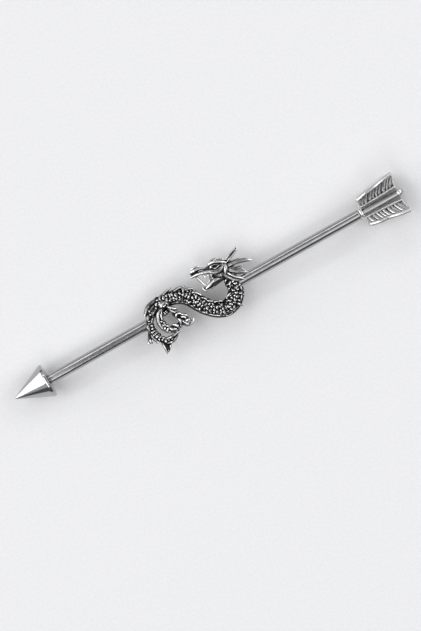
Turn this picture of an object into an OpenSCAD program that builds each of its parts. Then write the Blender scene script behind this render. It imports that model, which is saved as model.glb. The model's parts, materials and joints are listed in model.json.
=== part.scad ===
// Arrow barbell with a dragon centre, a straight bar worn through two holes in the ear.
// Units are millimetres. The bar runs along X, with the arrowhead at -X and the feathers at +X.
// The piece lies on Z = 0 on the arrowhead's rim and the two lower feather corners.

/* [Bar] */
// Diameter of both shanks
shank_d = 1.2; // [1.1:0.05:1.3]
// Height of the left shank's axis above the middle line, in plan
left_y = 0.43; // [0.3:0.01:0.5]
// Height of the right shank's axis above the middle line, in plan
right_y = -0.35; // [-0.45:0.01:-0.25]
// Length of the whole piece, tip to nock
total_l = 48.4; // [47:0.1:50]
// Diameter of the stud that each end screws on to
stud_d = 0.84; // [0.8:0.01:0.86]
// Length of each stud
stud_l = 2.2; // [1.8:0.1:2.6]
// Radial clearance of a stud in its hole
stud_clear = 0.03; // [0.02:0.005:0.05]
// Gap between a shank's shoulder and the end that sits against it
seat_gap = 0.05; // [0.02:0.01:0.08]
// Gap between the end of a stud and the bottom of its hole
stud_end_gap = 0.15; // [0.1:0.05:0.3]

/* [Arrowhead] */
// Length of the cone
head_l = 4.2; // [3.8:0.1:4.6]
// Diameter of the cone's flat back
head_d = 3.85; // [3.6:0.05:4.1]
// Radius of the blunt tip
tip_r = 0.15; // [0.1:0.01:0.25]
// Radius of the rounded rim round the back
rim_r = 0.22; // [0.15:0.01:0.3]

/* [Arrow tail] */
// Length of the whole arrow tail, collar to nock
tail_l = 5.6; // [5.2:0.1:6]
// Diameter of the collar where it meets the vanes
collar_d = 1.45; // [1.4:0.05:1.6]
// Diameter of the collar at its front
collar_front_d = 1.38; // [1.35:0.01:1.4]
// Length of the collar
collar_l = 0.35; // [0.25:0.05:0.5]
// Diameter of the round core at its front
core_d = 1.32; // [1.28:0.01:1.36]
// Diameter of the core where it meets the nock
core_rear_d = 1.26; // [1.2:0.01:1.28]
// Diameter of the nock where it leaves the vanes
nock_d = 0.95; // [0.85:0.05:1.05]
// Diameter of the nock's rounded end
nock_tip_d = 0.4; // [0.3:0.05:0.5]
// Reach of a vane from the axis at its front corner
vane_front = 2.35; // [2.1:0.05:2.6]
// Reach of a vane from the axis at its rear corner
vane_rear = 3.3; // [3.1:0.05:3.5]
// Length of a vane along its outer edge
vane_l = 4.6; // [4.3:0.1:4.7]
// How far the outer rear corner stands behind the inner one
vane_sweep = 0.35; // [0.2:0.05:0.5]
// Thickness of a vane over its raised rim
vane_t = 0.5; // [0.45:0.05:0.6]
// Width of the raised rim
vane_rim = 0.26; // [0.2:0.02:0.32]
// Depth of the feather pattern on each face
vane_relief = 0.09; // [0.06:0.01:0.12]
// Number of raised barbs on a vane
barbs = 12; // [9:1:13]
// Angle of the barbs to the bar
barb_angle = 62; // [55:1:68]

/* [Dragon] */
// Length of the dragon casting along the bar
dragon_l = 14.4; // [14:0.1:15]
// Height of one scale row along the body
scale_row = 0.46; // [0.42:0.02:0.54]
// Relief of the scales, as a share of the body's half width
scale_relief = 0.07; // [0.04:0.01:0.1]

/* [Hidden] */
$fn = 48;

steel = [0.78, 0.79, 0.8];
old_silver = [0.62, 0.62, 0.62];

// Stations along the bar
tip_x = -total_l / 2;
nock_x = total_l / 2;
head_back = tip_x + head_l;
tail_front = nock_x - tail_l;
left_end = head_back + seat_gap;
right_end = tail_front - seat_gap;
bore_r = stud_d / 2 + stud_clear;
bore_l = stud_l + stud_end_gap;
vane_x0 = tail_front + collar_l;
nock_l = 1.0;

// How far one solid runs on into the next where they are fused
overlap = 1;

// How the piece lies: the rim of the arrowhead and the lower vane corners all touch Z = 0
corner_x = vane_x0 + vane_l;
corner_drop = (vane_rear + vane_t / 2) * sin(45);
rim_x = head_back - rim_r;
lean_run = corner_x - rim_x;
lean_rise = corner_drop - head_d / 2 + rim_r;
lean = atan2(lean_rise, lean_run) - asin(rim_r / norm([lean_run, lean_rise]));
axis_z = corner_drop * cos(lean) - corner_x * sin(lean);

// Where the shanks end inside the dragon, and where the solder that swells them there runs out
left_root = -7.25;
left_solder = -8.15;
right_root = 2.9;
right_solder = 4.9;
solder_t = 0.03;
// Flat back of the dragon, below the bar's axis
back_z = -0.65;
// Length of the dragon as its tables below give it
table_l = 14.4;

// Body of the dragon from the neck to the tip of the tail, seen from the front
// Columns: x, y, z of the centre, width, depth
BODY = [
    [2.75, 0.95, 0.15, 1.20, 1.30],
    [2.80, 0.20, 0.10, 1.35, 1.35],
    [2.82, -0.60, 0.05, 1.45, 1.40],
    [2.50, -1.40, 0.05, 1.55, 1.40],
    [1.85, -1.98, 0.05, 1.60, 1.40],
    [1.00, -2.20, 0.05, 1.60, 1.40],
    [0.15, -2.00, 0.05, 1.55, 1.40],
    [-0.60, -1.45, 0.05, 1.55, 1.40],
    [-1.20, -0.75, 0.05, 1.60, 1.40],
    [-1.65, 0.00, 0.05, 1.65, 1.40],
    [-2.10, 0.70, 0.05, 1.60, 1.40],
    [-2.80, 1.30, 0.05, 1.45, 1.40],
    [-3.65, 1.65, 0.05, 1.40, 1.35],
    [-4.60, 1.82, 0.05, 1.30, 1.30],
    [-5.55, 1.82, 0.08, 1.20, 1.25],
    [-6.40, 1.50, 0.08, 1.10, 1.35],
    [-7.05, 0.90, 0.06, 1.00, 1.42],
    [-7.40, 0.15, 0.06, 0.90, 1.42],
    [-7.42, -0.65, 0.08, 0.88, 1.25],
    [-7.22, -1.40, 0.10, 0.85, 1.00],
    [-6.75, -2.00, 0.10, 0.75, 0.85],
    [-6.10, -2.22, 0.10, 0.62, 0.75],
    [-5.40, -2.02, 0.12, 0.48, 0.60],
    [-4.70, -1.90, 0.15, 0.14, 0.24]
];

// Hind leg: the thigh curls round inside the tail loop, the shin drops to the foot
// Columns as BODY
THIGH = [
    [-4.75, 1.30, 0.45, 0.60, 0.90],
    [-5.35, 1.28, 0.50, 0.75, 1.00],
    [-5.95, 0.92, 0.45, 0.75, 1.00],
    [-6.25, 0.25, 0.35, 0.72, 0.95],
    [-6.20, -0.45, 0.30, 0.72, 0.90],
    [-5.90, -1.05, 0.25, 0.70, 0.85],
    [-5.35, -1.44, 0.25, 0.74, 0.80],
    [-4.70, -1.42, 0.25, 0.60, 0.80],
    [-4.20, -1.12, 0.30, 0.50, 0.75]
];
SHIN = [
    [-4.95, 1.55, 0.50, 0.60, 0.90],
    [-4.70, 1.05, 0.50, 0.55, 0.85],
    [-4.38, 0.45, 0.45, 0.48, 0.80],
    [-4.15, -0.05, 0.40, 0.48, 0.75],
    [-4.05, -0.55, 0.35, 0.55, 0.75],
    [-4.15, -1.15, 0.30, 0.45, 0.70]
];
// Each claw runs from the foot to its tip
CLAWS = [
    [[-4.00, -0.35, 0.40, 0.40, 0.60], [-3.60, -0.60, 0.50, 0.34, 0.50],
     [-3.32, -0.95, 0.50, 0.30, 0.45], [-3.30, -1.30, 0.45, 0.12, 0.20]],
    [[-4.05, -0.75, 0.40, 0.42, 0.60], [-3.65, -1.05, 0.45, 0.34, 0.50],
     [-3.45, -1.45, 0.40, 0.26, 0.40], [-3.55, -1.75, 0.35, 0.12, 0.20]],
    [[-4.10, -1.10, 0.35, 0.42, 0.60], [-3.85, -1.60, 0.35, 0.30, 0.45],
     [-3.35, -1.82, 0.35, 0.26, 0.40], [-2.82, -1.40, 0.35, 0.10, 0.18]]
];

// Spines and fins, each bent through three points
// Columns: x, y of the root, x, y of the middle, x, y of the tip, width
FINS = [
    [-4.95, 2.05, -4.20, 2.48, -3.25, 2.78, 0.40],
    [-4.00, 1.92, -2.90, 2.24, -1.75, 2.10, 0.46],
    [-3.00, 1.55, -2.10, 1.64, -1.25, 1.45, 0.46],
    [-2.10, 1.10, -1.38, 0.85, -0.88, 0.25, 0.44],
    [-1.60, 0.30, -0.92, -0.10, -0.38, -0.66, 0.42],
    [-0.95, -0.40, -0.40, -0.70, 0.08, -1.02, 0.38],
    [-0.30, -1.05, 0.25, -1.12, 0.90, -1.35, 0.36],
    [2.50, -1.00, 2.00, -1.02, 1.48, -1.20, 0.34],
    [2.45, -0.35, 2.20, -0.48, 1.98, -0.66, 0.26],
    [2.45, 0.10, 2.22, 0.00, 2.02, -0.20, 0.24],
    [2.45, 0.55, 2.24, 0.44, 2.04, 0.24, 0.24],
    [1.90, -2.00, 2.20, -2.40, 2.56, -2.92, 0.55],
    [-5.90, 1.95, -6.75, 1.98, -7.42, 1.40, 0.38],
    [-6.80, 1.40, -7.48, 0.95, -7.92, 0.10, 0.42],
    [-7.55, -0.20, -8.02, -0.85, -8.58, -1.56, 0.46],
    [-7.00, -1.95, -7.00, -2.75, -7.26, -3.54, 0.85],
    [-6.60, -2.15, -5.90, -2.42, -5.15, -2.10, 0.36]
];

// Head, facing -X. Columns as BODY
SNOUT = [
    [2.60, 2.10, 0.25, 1.20, 1.40],
    [1.90, 2.30, 0.30, 1.15, 1.40],
    [1.15, 2.38, 0.30, 0.80, 1.20],
    [0.45, 2.68, 0.25, 0.80, 1.10],
    [-0.25, 2.85, 0.25, 0.72, 1.00],
    [-0.82, 2.82, 0.20, 0.45, 0.75]
];
LIP = [
    [-0.92, 2.58, 0.45, 0.20, 0.40],
    [-0.30, 2.56, 0.60, 0.24, 0.50],
    [0.50, 2.42, 0.68, 0.26, 0.50],
    [1.10, 2.15, 0.72, 0.28, 0.50],
    [1.60, 1.88, 0.78, 0.32, 0.50],
    [2.05, 1.78, 0.80, 0.34, 0.50],
    [2.55, 1.92, 0.74, 0.30, 0.50]
];
BROW = [
    [1.38, 2.84, 0.55, 0.20, 0.50],
    [1.90, 2.92, 0.65, 0.28, 0.60],
    [2.50, 2.72, 0.62, 0.30, 0.60],
    [3.25, 2.28, 0.45, 0.26, 0.50]
];
CHEEK = [
    [3.00, 2.05, 0.60, 0.28, 0.60],
    [2.88, 1.60, 0.72, 0.34, 0.60],
    [2.58, 1.10, 0.62, 0.24, 0.50]
];
JAW = [
    [2.35, 1.20, 0.20, 0.95, 1.30],
    [1.60, 0.98, 0.25, 0.55, 1.10],
    [0.95, 0.84, 0.25, 0.46, 0.90],
    [0.35, 0.66, 0.25, 0.38, 0.75],
    [-0.08, 0.62, 0.22, 0.36, 0.60],
    [-0.28, 0.92, 0.20, 0.16, 0.40]
];
HORN = [
    [2.90, 2.25, 0.35, 0.40, 0.60],
    [3.50, 2.42, 0.40, 0.42, 0.55],
    [4.30, 2.72, 0.40, 0.44, 0.50],
    [5.02, 3.04, 0.35, 0.26, 0.32]
];
EAR = [
    [3.00, 1.78, 0.40, 0.60, 0.80],
    [3.80, 1.75, 0.45, 0.56, 0.60],
    [4.60, 1.66, 0.40, 0.52, 0.50],
    [5.30, 1.42, 0.35, 0.40, 0.40],
    [5.85, 1.05, 0.30, 0.10, 0.20]
];
LEAF = [
    [2.90, 1.45, 0.40, 0.50, 0.80],
    [3.45, 1.15, 0.50, 0.75, 0.60],
    [3.95, 0.80, 0.55, 0.80, 0.50],
    [4.40, 0.42, 0.55, 0.52, 0.45],
    [4.80, 0.08, 0.50, 0.16, 0.25]
];
SIDE_TIP = [
    [3.90, 1.15, 0.45, 0.34, 0.45],
    [4.40, 1.02, 0.42, 0.24, 0.35],
    [4.95, 1.05, 0.40, 0.08, 0.18]
];
BEARD = [
    [2.45, 1.15, 0.50, 0.45, 0.80],
    [2.95, 0.65, 0.68, 0.46, 0.60],
    [3.50, 0.14, 0.76, 0.34, 0.50],
    [4.08, -0.34, 0.74, 0.10, 0.24]
];
BEARD_FOLD = [
    [2.80, 1.10, 0.50, 0.40, 0.70],
    [3.40, 0.62, 0.60, 0.34, 0.60],
    [3.85, 0.26, 0.62, 0.26, 0.45],
    [4.22, -0.10, 0.60, 0.10, 0.24]
];
// Teeth and fang. Columns: x, y of the root, x, y of the tip, width at the root
TEETH = [
    [-0.32, 2.45, 0.04, 0.75, 0.20],
    [0.55, 2.30, 0.50, 1.75, 0.26],
    [0.95, 2.15, 0.85, 1.62, 0.26],
    [0.75, 0.90, 0.72, 1.35, 0.22],
    [1.20, 1.05, 1.15, 1.48, 0.26]
];
// Rounded masses of the head. Columns: x, y, z of the centre, half length, half width, half depth
MASSES = [
    [2.30, 1.60, 0.20, 0.95, 0.80, 0.70],
    [2.25, 2.65, 0.20, 0.85, 0.50, 0.55],
    [-0.05, 3.20, 0.15, 0.52, 0.34, 0.45],
    [-0.42, 3.02, 0.40, 0.42, 0.22, 0.36],
    [1.95, 2.44, 0.78, 0.42, 0.22, 0.34],
    [-5.05, 1.50, 0.60, 0.62, 0.42, 0.42],
    [-5.20, 0.72, 0.00, 0.72, 0.62, 0.45]
];

// A smooth curve through a table's rows, at u counted in rows
function cubic(a, b, c, d, t) =
    0.5 * (2 * b + (c - a) * t + (2 * a - 5 * b + 4 * c - d) * t * t + (3 * b - a - 3 * c + d) * t * t * t);
function along(rows, u) =
    let (last = len(rows) - 1, i = min(floor(u), last - 1))
    cubic(rows[max(i - 1, 0)], rows[i], rows[i + 1], rows[min(i + 2, last)], u - i);
function place(row) = [row[0], row[1], row[2]];
function unit(v) = v / norm(v);

// Arc length of a table's curve, for spacing the scale rows
function curve_length(rows, n = 200) =
    let (last = len(rows) - 1,
         p = [for (k = [0:n]) place(along(rows, last * k / n))],
         d = [for (k = [1:n]) norm(p[k] - p[k - 1])])
    d * [for (k = [1:n]) 1];

// One oval section of a limb. Scales stand up in a staggered pattern on the back and flanks, and
// plates stand up across the belly, which is on the side where cos(a) is positive.
function section(rows, u, ring, sides, relief) =
    let (r = along(rows, u),
         e = 0.01,
         last = len(rows) - 1,
         d = unit(place(along(rows, min(u + e, last))) - place(along(rows, max(u - e, 0)))),
         side = unit(cross([0, 0, 1], d)),
         up = cross(d, side))
    [for (j = [0:sides - 1])
        let (a = 360 * (j + 0.5) / sides,
             belly = cos(a) > 0.7,
             lift = belly ? (ring % 2) : ((ring + j) % 2),
             s = 1 + relief * (2 * lift - 1))
        place(r) + side * (cos(a) * s * r[3] / 2) + up * (sin(a) * s * r[4] / 2)];

// A tapering limb swept along a table's curve
module limb(rows, steps, sides = 10, relief = 0) {
    last = len(rows) - 1;
    points = [for (k = [0:steps]) each section(rows, last * k / steps, k, sides, relief)];
    walls = [for (k = [0:steps - 1], j = [0:sides - 1])
        let (a = k * sides + j, b = k * sides + (j + 1) % sides)
        each ((k + j) % 2 == 0
            ? [[a, b + sides, b], [a, a + sides, b + sides]]
            : [[a, a + sides, b], [b, a + sides, b + sides]])];
    start = [for (j = [0:sides - 1]) j];
    stop = [for (j = [sides - 1:-1:0]) steps * sides + j];
    polyhedron(points, concat([start], walls, [stop]), convexity = 10);
}

// A spine or fin
module fin(row) {
    limb([[row[0], row[1], 0.05, row[6], 0.95],
          [row[2], row[3], 0.05, row[6] * 0.95, 0.75],
          [row[4], row[5], 0.05, 0.12, 0.20]], 4, 4);
}

// A tooth
module tooth(row) {
    root = [row[0], row[1], 0.3, row[4], 0.4];
    tip = [row[2], row[3], 0.3, 0.08, 0.14];
    limb([root, tip], 2, 4);
}

module mass(row) {
    translate(place(row)) scale([row[3], row[4], row[5]]) sphere(r = 1, $fn = 12);
}

// The dragon, about its own middle line, with a flat back
module dragon() {
    rings = 2 * round(curve_length(BODY) / scale_row);
    scale(dragon_l / table_l) intersection() {
        union() {
            limb(BODY, rings, 14, scale_relief);
            limb(THIGH, 16, 8);
            limb(SHIN, 8, 6);
            for (claw = CLAWS) limb(claw, 6, 5);
            for (row = FINS) fin(row);
            limb(SNOUT, 8, 8);
            limb(LIP, 8, 5);
            limb(BROW, 5, 5);
            limb(CHEEK, 3, 5);
            limb(JAW, 7, 8);
            limb(HORN, 5, 6);
            limb(EAR, 7, 6);
            limb(LEAF, 6, 6);
            limb(SIDE_TIP, 3, 5);
            limb(BEARD, 5, 5);
            limb(BEARD_FOLD, 5, 5);
            for (row = TEETH) tooth(row);
            for (row = MASSES) mass(row);
        }
        translate([-table_l, -table_l, back_z]) cube(2 * table_l);
    }
}

// A rod along +X from its back end
module rod(d, l) {
    rotate([0, 90, 0]) cylinder(d = d, h = l);
}

// A round taper along +X from its back end
module taper(d_back, d_front, l) {
    rotate([0, 90, 0]) cylinder(d1 = d_back, d2 = d_front, h = l);
}

// A shank from its root to its shoulder, with its stud beyond, along X. The solder swells it evenly
// towards the root.
module shank(root, solder_end, shoulder) {
    out = sign(shoulder - root);
    translate([root, 0, 0]) rotate([0, 90 * out, 0])
        cylinder(d1 = shank_d + 2 * solder_t, d2 = shank_d, h = abs(solder_end - root));
    translate([min(solder_end, shoulder), 0, 0]) rod(shank_d, abs(shoulder - solder_end));
    translate([min(shoulder - out * overlap, shoulder + out * stud_l), 0, 0]) rod(stud_d, stud_l + overlap);
}

// Sets a piece of the level bar down on the surface it lies on
module at_rest() {
    translate([0, 0, axis_z]) rotate([0, -lean, 0]) children();
}

// Half section of the cone, radius across and distance from the tip upwards. Its side is the line
// that touches both the ball of the tip and the round of the rim.
module head_profile() {
    tip_c = [0, tip_r];
    rim_c = [head_d / 2 - rim_r, head_l - rim_r];
    run = rim_c - tip_c;
    facing = atan2(run[1], run[0]) - acos((tip_r - rim_r) / norm(run));
    out = [cos(facing), sin(facing)];
    polygon([tip_c, tip_c + tip_r * out, rim_c + rim_r * out, rim_c, [rim_c[0], head_l], [0, head_l]]);
    intersection() {
        translate(tip_c) circle(r = tip_r);
        square(2 * tip_r);
    }
    translate(rim_c) circle(r = rim_r);
}

module arrowhead() {
    color(steel) at_rest() translate([tip_x, left_y, 0])
        difference() {
            rotate([0, 90, 0]) rotate_extrude($fn = 96) head_profile();
            translate([head_l - bore_l, 0, 0]) rod(2 * bore_r, bore_l + overlap);
        }
}

module dragon_bar() {
    color(old_silver) at_rest() {
        translate([0, left_y, 0]) shank(left_root, left_solder, left_end);
        translate([0, right_y, 0]) shank(right_root, right_solder, right_end);
        dragon();
    }
}

// One vane in its own plane: along X, outwards along Y
module vane_outline() {
    polygon([[0, 0], [0, vane_front], [vane_l, vane_rear], [vane_l - vane_sweep, 0]]);
}

// The panel between the rims is lower, and the barbs cross it. The first barb starts far enough
// forward to reach the front corner.
module vane() {
    panel_t = vane_t - 2 * vane_relief;
    root = core_d / 2 + vane_rim / 2;
    window = [[vane_rim, root], [vane_rim, vane_front - vane_rim],
              [vane_l - vane_rim, vane_rear - vane_rim], [vane_l - vane_sweep - vane_rim, root]];
    lead = vane_rear / tan(barb_angle);
    barb_step = (vane_l + lead) / barbs;
    barb_reach = vane_rear / sin(barb_angle);
    translate([0, 0, -panel_t / 2]) linear_extrude(panel_t) vane_outline();
    translate([0, 0, -vane_t / 2]) linear_extrude(vane_t) difference() {
        vane_outline();
        difference() {
            polygon(window);
            for (k = [0:barbs - 1])
                translate([barb_step * k - lead, 0]) rotate(barb_angle)
                    square([barb_reach, barb_step * sin(barb_angle) / 2]);
        }
    }
}

module arrow_tail() {
    color(old_silver) at_rest() translate([tail_front, right_y, 0])
        difference() {
            union() {
                taper(collar_front_d, collar_d, collar_l);
                taper(core_d, core_rear_d, tail_l - nock_l);
                translate([tail_l - nock_l, 0, 0]) taper(nock_d, nock_tip_d, nock_l - nock_tip_d / 2);
                translate([tail_l - nock_tip_d / 2, 0, 0]) sphere(d = nock_tip_d);
                for (a = [45:90:315])
                    rotate([a, 0, 0]) translate([collar_l, 0, 0]) vane();
            }
            translate([-overlap, 0, 0]) rod(2 * bore_r, bore_l + overlap);
        }
}

arrowhead();
dragon_bar();
arrow_tail();
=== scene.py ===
import json
import math

import bmesh
import bpy
import numpy as np
from mathutils import Matrix, Vector


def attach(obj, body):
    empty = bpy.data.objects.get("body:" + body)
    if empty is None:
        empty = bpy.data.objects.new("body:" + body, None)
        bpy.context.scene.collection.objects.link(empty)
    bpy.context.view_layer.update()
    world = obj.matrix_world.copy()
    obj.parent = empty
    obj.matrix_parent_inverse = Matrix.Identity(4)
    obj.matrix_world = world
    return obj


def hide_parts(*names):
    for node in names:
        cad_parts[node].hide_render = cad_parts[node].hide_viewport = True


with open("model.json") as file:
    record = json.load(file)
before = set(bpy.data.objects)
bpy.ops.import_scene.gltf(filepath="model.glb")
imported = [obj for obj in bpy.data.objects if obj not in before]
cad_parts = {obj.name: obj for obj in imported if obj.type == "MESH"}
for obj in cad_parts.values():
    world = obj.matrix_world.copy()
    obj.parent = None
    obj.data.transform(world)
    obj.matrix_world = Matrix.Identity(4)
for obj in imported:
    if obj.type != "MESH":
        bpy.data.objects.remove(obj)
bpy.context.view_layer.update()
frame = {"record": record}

# Camera: straight above the piece, as the photograph looks down on it, turned so that the bar rises
# to the upper right. The right shank's mount tells how high the bar lies and how far it leans: it
# leans because the cone is thinner than the feathers.
mounts = {mount["name"]: mount for mount in frame["record"]["mounts"]}
bar_axis = Vector(mounts["right_shank"]["axis"]).normalized()
bar_point = Vector(mounts["right_shank"]["pos_m"])
lean = math.atan2(bar_axis.z, bar_axis.x)
bar_height = bar_point.z - bar_point.x * math.tan(lean)
MM = 0.001
camera_height = 0.3
camera_turn = math.radians(29.2)
camera_at = Vector((-1.07, -2.07, 0)) * MM
camera_data = bpy.data.cameras.new("camera")
camera_data.sensor_width = 36
camera_data.lens = 156
camera_data.clip_start = 0.005
camera = bpy.data.objects.new("camera", camera_data)
camera.location = camera_at + Vector((0, 0, bar_height + camera_height))
camera.rotation_euler = (0, 0, -camera_turn)
bpy.context.scene.collection.objects.link(camera)
bpy.context.scene.camera = camera

# Floor: a plain pale sheet of matt card under the piece, with a faint grain.
floor_reach = 3.0
floor_bm = bmesh.new()
bmesh.ops.create_grid(floor_bm, x_segments=1, y_segments=1, size=floor_reach)
floor_mesh = bpy.data.meshes.new("floor")
floor_bm.to_mesh(floor_mesh)
floor_bm.free()
floor = bpy.data.objects.new("floor", floor_mesh)
bpy.context.scene.collection.objects.link(floor)
floor_finish = bpy.data.materials.new("pale_card")
floor_finish.use_nodes = True
floor_shader = floor_finish.node_tree.nodes["Principled BSDF"]
floor_shader.inputs["Roughness"].default_value = 0.9
floor_shader.inputs["Specular IOR Level"].default_value = 0.2
card_place = floor_finish.node_tree.nodes.new("ShaderNodeTexCoord")
card_grain = floor_finish.node_tree.nodes.new("ShaderNodeTexNoise")
card_grain.inputs["Scale"].default_value = 3500
card_grain.inputs["Detail"].default_value = 3
card_tone = floor_finish.node_tree.nodes.new("ShaderNodeValToRGB")
card_tone.color_ramp.elements[0].color = (0.72, 0.72, 0.73, 1)
card_tone.color_ramp.elements[1].color = (0.82, 0.82, 0.83, 1)
floor_finish.node_tree.links.new(card_place.outputs["Object"], card_grain.inputs["Vector"])
floor_finish.node_tree.links.new(card_grain.outputs["Fac"], card_tone.inputs["Fac"])
floor_finish.node_tree.links.new(card_tone.outputs["Color"], floor_shader.inputs["Base Color"])
floor_mesh.materials.append(floor_finish)

# Light: a wide dim soft box behind the bar and a nearer one before its feathered half, each with a
# bright strip, draw the long lines on the shanks. A bright panel stands off the arrowhead's side, a
# dim one below it and one above its rim, a soft box off the feathers' end, and the room is dark.


def add_soft_box(name, toward, long_way, distance, size, glow, slide=0.0):
    """A soft box that faces the piece from a direction, its long side along a way, slid that way;
    its size is given across and along, and its glow is the brightness of its face."""
    data = bpy.data.lights.new(name, "AREA")
    data.shape = "RECTANGLE"
    data.size, data.size_y = size
    data.energy = glow * math.pi * size[0] * size[1]
    box = bpy.data.objects.new(name, data)
    turned = Matrix.Rotation(-lean, 3, "Y")
    facing = (turned @ Vector(toward)).normalized()
    across = (turned @ Vector(long_way)).cross(facing).normalized()
    along = facing.cross(across)
    box.matrix_world = Matrix((across, along, facing)).transposed().to_4x4()
    box.location = facing * distance + along * slide
    bpy.context.scene.collection.objects.link(box)


add_soft_box("far_side_box", (0, 0.83, 0.56), (1, 0, 0), 0.8, (0.6, 0.9), 0.6)
add_soft_box("far_strip", (0, 0.69, 0.72), (1, 0, 0), 0.79, (0.1, 0.9), 2.2)
add_soft_box("near_side_box", (0, -0.27, 0.96), (1, 0, 0), 0.3, (0.3, 0.42), 0.6, 0.2)
add_soft_box("near_strip", (0, -0.42, 0.91), (1, 0, 0), 0.29, (0.05, 0.42), 1.4, 0.2)
add_soft_box("key_panel", (-0.79, 0.41, 0.46), (0.135, 0.841, -0.524), 0.6, (0.24, 0.8), 3.6)
add_soft_box("key_fill", (-0.74, -0.38, 0.56), (0, 1, 0), 0.6, (0.2, 0.2), 0.6)
add_soft_box("rim_panel", (-0.4, -0.12, 0.9), (0, 1, 0), 0.6, (0.2, 0.9), 3.0)
add_soft_box("feather_box", (0.85, 0.1, 0.52), (0, 1, 0), 0.6, (0.3, 0.6), 2.2)
room = bpy.data.worlds.new("room")
room.use_nodes = True
room.node_tree.nodes["Background"].inputs["Color"].default_value = (0.5, 0.51, 0.53, 1)
room.node_tree.nodes["Background"].inputs["Strength"].default_value = 0.25
bpy.context.scene.world = room
bpy.context.scene.view_settings.view_transform = "Standard"

# Shanks: the bar itself, drawn rod of surgical steel, polished along its length.
# Each is turned down to a threaded stud that an end screws on to, and runs into the casting.
tip_x, nock_x = -24.2, 24.2
cone_l, tail_l = 4.2, 5.6
shank_r = mounts["left_shank"]["dims"]["r_mm"]
left_y, right_y = (mounts[side]["pos_m"][1] / MM for side in ("left_shank", "right_shank"))
seat_gap = 0.05
left_end, right_end = tip_x + cone_l + seat_gap, nock_x - tail_l - seat_gap
left_root, right_root = -7.25, 2.9
shoulder_round = 0.06
stud_l, thread_core_r, thread_crest_r = 2.2, 0.36, 0.435
thread_pitch, thread_sink, thread_gap, thread_steps = 0.2, 0.03, 0.03, 40
turn_steps, turned_crease, weld_gap = 96, 40, 1e-5

# Every piece is modelled in millimetres with the bar level along X, and this sets it down.
set_down = (Matrix.Translation((0, 0, bar_height)) @ Matrix.Rotation(-lean, 4, "Y")
            @ Matrix.Scale(MM, 4))


def add_piece(bm, name, body, material, node, crease=180):
    """Makes a shaded object of a mesh that is modelled in bar millimetres, and sets it down."""
    bmesh.ops.recalc_face_normals(bm, faces=bm.faces)
    bmesh.ops.transform(bm, matrix=set_down, verts=bm.verts)
    mesh = bpy.data.meshes.new(name)
    bm.to_mesh(mesh)
    bm.free()
    piece = bpy.data.objects.new(name, mesh)
    bpy.context.scene.collection.objects.link(piece)
    mesh.materials.append(material)
    mesh.shade_smooth()
    mesh.set_sharp_from_angle(angle=math.radians(crease))
    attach(piece, body)
    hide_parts(node)
    return piece


def line_to(bm, start, x, r):
    """Carries a half section on from a vertex in a straight line, and returns the new end."""
    made = bmesh.ops.extrude_vert_indiv(bm, verts=[start])
    made["verts"][0].co = Vector((x, 0, r))
    return made["verts"][0]


def arc_to(bm, start, centre_x, centre_r, degrees, steps):
    """Carries a half section on in an arc about a centre, and returns the new end."""
    made = bmesh.ops.spin(bm, geom=[start], cent=(centre_x, 0, centre_r), axis=(0, 1, 0),
                          angle=math.radians(degrees), steps=steps)
    return next(part for part in made["geom_last"] if isinstance(part, bmesh.types.BMVert))


def turn_on_lathe(bm):
    """Spins the half section about the bar's axis into a closed round solid."""
    bmesh.ops.remove_doubles(bm, verts=bm.verts, dist=weld_gap)
    bmesh.ops.spin(bm, geom=bm.verts[:] + bm.edges[:], cent=(0, 0, 0), axis=(1, 0, 0),
                   angle=math.tau, steps=turn_steps, use_merge=True)
    bmesh.ops.remove_doubles(bm, verts=bm.verts, dist=weld_gap)


def hairline_group():
    """Polishing lines along the bar: stretched noise that lifts and roughens the metal a little."""
    group = bpy.data.node_groups.new("hairlines", "ShaderNodeTree")
    face = group.interface
    face.new_socket("Length", in_out="INPUT", socket_type="NodeSocketVector")
    face.new_socket("Low Roughness", in_out="INPUT", socket_type="NodeSocketFloat")
    face.new_socket("High Roughness", in_out="INPUT", socket_type="NodeSocketFloat")
    face.new_socket("Height", in_out="OUTPUT", socket_type="NodeSocketFloat")
    face.new_socket("Roughness", in_out="OUTPUT", socket_type="NodeSocketFloat")
    nodes, links = group.nodes, group.links
    entry, out = nodes.new("NodeGroupInput"), nodes.new("NodeGroupOutput")
    place = nodes.new("ShaderNodeTexCoord")
    stretch = nodes.new("ShaderNodeVectorMath")
    stretch.operation = "MULTIPLY"
    links.new(place.outputs["Object"], stretch.inputs[0])
    links.new(entry.outputs["Length"], stretch.inputs[1])
    fine = nodes.new("ShaderNodeTexNoise")
    fine.inputs["Scale"].default_value = 1
    fine.inputs["Detail"].default_value = 4
    links.new(stretch.outputs["Vector"], fine.inputs["Vector"])
    spread = nodes.new("ShaderNodeMapRange")
    spread.inputs["From Min"].default_value = 0.3
    spread.inputs["From Max"].default_value = 0.7
    links.new(fine.outputs["Fac"], spread.inputs["Value"])
    links.new(entry.outputs["Low Roughness"], spread.inputs["To Min"])
    links.new(entry.outputs["High Roughness"], spread.inputs["To Max"])
    links.new(fine.outputs["Fac"], out.inputs["Height"])
    links.new(spread.outputs["Result"], out.inputs["Roughness"])
    return group


def metal(name, color):
    """A new metal material with its shader's plain values set."""
    made = bpy.data.materials.new(name)
    made.use_nodes = True
    shader = made.node_tree.nodes["Principled BSDF"]
    shader.inputs["Base Color"].default_value = color
    shader.inputs["Metallic"].default_value = 1
    shader.inputs["Roughness"].default_value = 0.2
    return made, shader


def put_group(material, group, **values):
    """Places a shared group in a material with its own values."""
    node = material.node_tree.nodes.new("ShaderNodeGroup")
    node.node_tree = group
    for name, value in values.items():
        node.inputs[name.replace("_", " ")].default_value = value
    return node


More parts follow.
